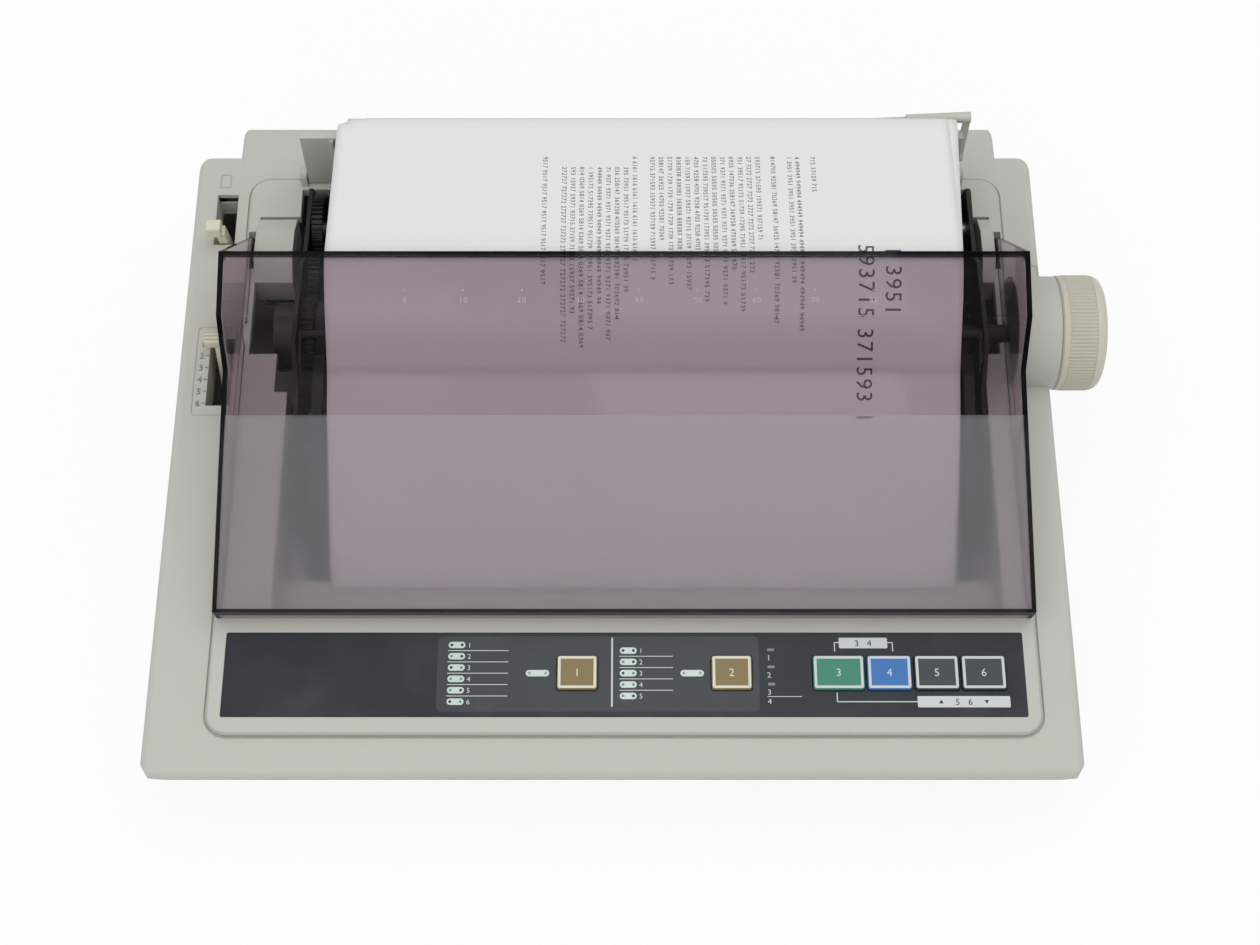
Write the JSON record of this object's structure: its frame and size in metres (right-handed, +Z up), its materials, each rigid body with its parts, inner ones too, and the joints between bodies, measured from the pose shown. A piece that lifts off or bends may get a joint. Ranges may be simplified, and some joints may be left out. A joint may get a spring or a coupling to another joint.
{
  "type": "dot matrix printer",
  "caption": "Desktop dot matrix printer with a sloping deck, hinged smoked cover, side platen knob, key panel and rear sheet guide.",
  "frame": {"origin": "middle of the footprint of the whole printer, on the surface that its feet stand on", "axes": "+X to the side with the platen knob, +Y to the back, +Z up"},
  "size_m": [0.4226, 0.321, 0.1373],
  "materials": {
    "case_plastic": "fine matt grain",
    "smoked_plastic": "smoked clear plastic, frosted on its front panel",
    "panel_overlay": "dark satin printed overlay",
    "tan_key": "satin",
    "green_key": "satin",
    "blue_key": "satin",
    "grey_key": "satin",
    "lens": "translucent windows",
    "board": "solder mask",
    "platen_rubber": "smooth matt",
    "steel": "ground",
    "knob_plastic": "warm beige, finely ribbed",
    "lever_plastic": "cream",
    "white_gear": "natural acetal",
    "black_frame": "black satin",
    "plated_steel": "zinc plated",
    "motor": "black can",
    "brass": "turned",
    "black_plastic": "moulded",
    "ribbon_cloth": "inked nylon",
    "head_metal": "dark cast",
    "rest_plastic": "coated wire",
    "core": "laminated core",
    "alloy": "extruded",
    "foot_rubber": "matt",
    "paper": "plain bond"
  },
  "bodies": {
    "case": {"lower_case": "case_plastic", "upper_case": "case_plastic", "control_panel": "panel_overlay", "indicator_lenses": "lens", "panel_board": "board", "feed_motor": "motor", "frame_left": "black_frame", "frame_right": "black_frame", "chassis_plate": "plated_steel", "carriage_rod": "steel", "carriage_rail": "steel", "drive_belt": "platen_rubber", "carriage_motor": "motor", "ribbon_cartridge": "black_plastic", "ribbon": "ribbon_cloth", "tractor_rod": "steel", "paper_pan": "black_plastic", "main_board": "board", "transformer": "core", "heat_sink": "alloy", "parallel_connector": "black_plastic", "mains_inlet": "black_plastic", "switch_frame": "black_plastic", "rubber_feet": "foot_rubber", "case_screws": "steel", "paper_sheet": "paper"},
    "cover": {"smoked_cover": "smoked_plastic"},
    "font_key": {"key_font": "tan_key"},
    "pitch_key": {"key_pitch": "tan_key"},
    "on_line_key": {"key_on_line": "green_key"},
    "line_feed_key": {"key_line_feed": "blue_key"},
    "tear_off_key": {"key_tear_off": "grey_key"},
    "load_park_key": {"key_load_park": "grey_key"},
    "platen": {"platen_roller": "platen_rubber", "platen_shaft": "steel", "platen_knob": "knob_plastic", "platen_gear": "white_gear"},
    "idler": {"idler_gear": "white_gear"},
    "pinion": {"feed_pinion": "brass"},
    "tractor_drive": {"tractor_shaft": "steel", "tractor_gear": "white_gear"},
    "pressure": {"pressure_rollers": "platen_rubber"},
    "head_carriage": {"carriage": "black_plastic", "print_head": "head_metal"},
    "motor_pulley": {"drive_pulley": "brass"},
    "end_pulley": {"belt_pulley": "white_gear"},
    "ribbon_winder": {"ribbon_knob": "black_plastic"},
    "bail": {"paper_bail": "steel"},
    "bail_wheels": {"bail_rollers": "platen_rubber"},
    "left_tractor": {"tractor_left": "black_plastic"},
    "right_tractor": {"tractor_right": "black_plastic"},
    "left_door": {"tractor_door_left": "black_plastic"},
    "right_door": {"tractor_door_right": "black_plastic"},
    "release": {"release_lever": "lever_plastic"},
    "gap_lever": {"head_gap_lever": "lever_plastic"},
    "guide": {"sheet_guide": "case_plastic"},
    "rest": {"paper_rest": "rest_plastic"},
    "rocker": {"power_switch": "black_plastic"}
  },
  "joints": [
    {"name": "cover_hinge", "type": "hinge", "parent": "case", "child": "cover", "pos_m": [-0.0063, 0.089, 0.08012], "axis": [-1, 0, 0], "range_deg": [0, 75]},
    {"name": "platen_spin", "type": "hinge", "parent": "case", "child": "platen", "pos_m": [0.0007, 0.045, 0.076], "axis": [1, 0, 0], "continuous": true},
    {"name": "idler_spin", "type": "hinge", "parent": "case", "child": "idler", "pos_m": [-0.1533, 0.0739, 0.07701], "axis": [1, 0, 0], "continuous": true},
    {"name": "pinion_spin", "type": "hinge", "parent": "case", "child": "pinion", "pos_m": [-0.1533, 0.05546, 0.05788], "axis": [1, 0, 0], "continuous": true},
    {"name": "tractor_spin", "type": "hinge", "parent": "case", "child": "tractor_drive", "pos_m": [0.0007, 0.1028, 0.07802], "axis": [1, 0, 0], "continuous": true},
    {"name": "pressure_spin", "type": "hinge", "parent": "case", "child": "pressure", "pos_m": [0.0007, 0.045, 0.0557], "axis": [1, 0, 0], "continuous": true},
    {"name": "carriage_slide", "type": "slide", "parent": "case", "child": "head_carriage", "axis": [1, 0, 0], "range_m": [-0.0885, 0.1515]},
    {"name": "motor_pulley_spin", "type": "hinge", "parent": "case", "child": "motor_pulley", "pos_m": [0.1287, -0.021, 0.028], "axis": [0, 0, 1], "range_deg": [-1120, 700]},
    {"name": "end_pulley_spin", "type": "hinge", "parent": "case", "child": "end_pulley", "pos_m": [-0.1293, -0.021, 0.028], "axis": [0, 0, 1], "range_deg": [-1120, 700]},
    {"name": "ribbon_knob_spin", "type": "hinge", "parent": "case", "child": "ribbon_winder", "pos_m": [-0.1363, -0.048, 0.028], "axis": [0, 0, 1], "continuous": true},
    {"name": "bail_hinge", "type": "hinge", "parent": "case", "child": "bail", "pos_m": [0.0007, 0.021, 0.062], "axis": [1, 0, 0], "range_deg": [0, 25]},
    {"name": "bail_roller_spin", "type": "hinge", "parent": "bail", "child": "bail_wheels", "pos_m": [0.0007, 0.03336, 0.09263], "axis": [1, 0, 0], "continuous": true},
    {"name": "left_tractor_slide", "type": "slide", "parent": "case", "child": "left_tractor", "axis": [1, 0, 0], "range_m": [-0.005, 0.06]},
    {"name": "right_tractor_slide", "type": "slide", "parent": "case", "child": "right_tractor", "axis": [1, 0, 0], "range_m": [-0.06, 0.01]},
    {"name": "left_door_hinge", "type": "hinge", "parent": "left_tractor", "child": "left_door", "pos_m": [-0.1383, 0.1028, 0.08932], "axis": [0, -1, 0], "range_deg": [0, 100]},
    {"name": "right_door_hinge", "type": "hinge", "parent": "right_tractor", "child": "right_door", "pos_m": [0.1417, 0.1028, 0.08932], "axis": [0, 1, 0], "range_deg": [0, 100]},
    {"name": "release_lever_hinge", "type": "hinge", "parent": "case", "child": "release", "pos_m": [-0.1955, 0.105, 0.044], "axis": [-1, 0, 0], "range_deg": [0, 28]},
    {"name": "gap_lever_hinge", "type": "hinge", "parent": "case", "child": "gap_lever", "pos_m": [-0.1923, 0.027, 0.036], "axis": [1, 0, 0], "range_deg": [0, 36]},
    {"name": "guide_tilt", "type": "hinge", "parent": "case", "child": "guide", "pos_m": [0.0007, 0.128, 0.08749], "axis": [-1, 0, 0], "range_deg": [0, 30]},
    {"name": "rest_fold", "type": "hinge", "parent": "guide", "child": "rest", "pos_m": [0.0007, 0.131, 0.098], "axis": [-1, 0, 0], "range_deg": [0, 70]},
    {"name": "power_rocker", "type": "hinge", "parent": "case", "child": "rocker", "pos_m": [0.1847, -0.089, 0.0185], "axis": [0, 0, 1], "range_deg": [0, 16]},
    {"name": "font_press", "type": "slide", "parent": "case", "child": "font_key", "axis": [0, 0.1115, -0.9938], "range_m": [0, 0.0008], "stiffness_N_per_m": 300, "springref_m": -0.0006},
    {"name": "pitch_press", "type": "slide", "parent": "case", "child": "pitch_key", "axis": [0, 0.1115, -0.9938], "range_m": [0, 0.0008], "stiffness_N_per_m": 300, "springref_m": -0.0006},
    {"name": "on_line_press", "type": "slide", "parent": "case", "child": "on_line_key", "axis": [0, 0.1115, -0.9938], "range_m": [0, 0.0008], "stiffness_N_per_m": 300, "springref_m": -0.0006},
    {"name": "line_feed_press", "type": "slide", "parent": "case", "child": "line_feed_key", "axis": [0, 0.1115, -0.9938], "range_m": [0, 0.0008], "stiffness_N_per_m": 300, "springref_m": -0.0006},
    {"name": "tear_off_press", "type": "slide", "parent": "case", "child": "tear_off_key", "axis": [0, 0.1115, -0.9938], "range_m": [0, 0.0008], "stiffness_N_per_m": 300, "springref_m": -0.0006},
    {"name": "load_park_press", "type": "slide", "parent": "case", "child": "load_park_key", "axis": [0, 0.1115, -0.9938], "range_m": [0, 0.0008], "stiffness_N_per_m": 300, "springref_m": -0.0006}
  ],
  "couplings": [
    {"joint": "idler_spin", "follows": "platen_spin", "ratio": -1.25},
    {"joint": "tractor_spin", "follows": "platen_spin", "ratio": 1},
    {"joint": "pinion_spin", "follows": "platen_spin", "ratio": -3.3333},
    {"joint": "pressure_spin", "follows": "platen_spin", "ratio": -3},
    {"joint": "bail_roller_spin", "follows": "platen_spin", "ratio": -3},
    {"joint": "motor_pulley_spin", "follows": "carriage_slide", "rad_per_m": -125},
    {"joint": "end_pulley_spin", "follows": "carriage_slide", "rad_per_m": -125}
  ]
}
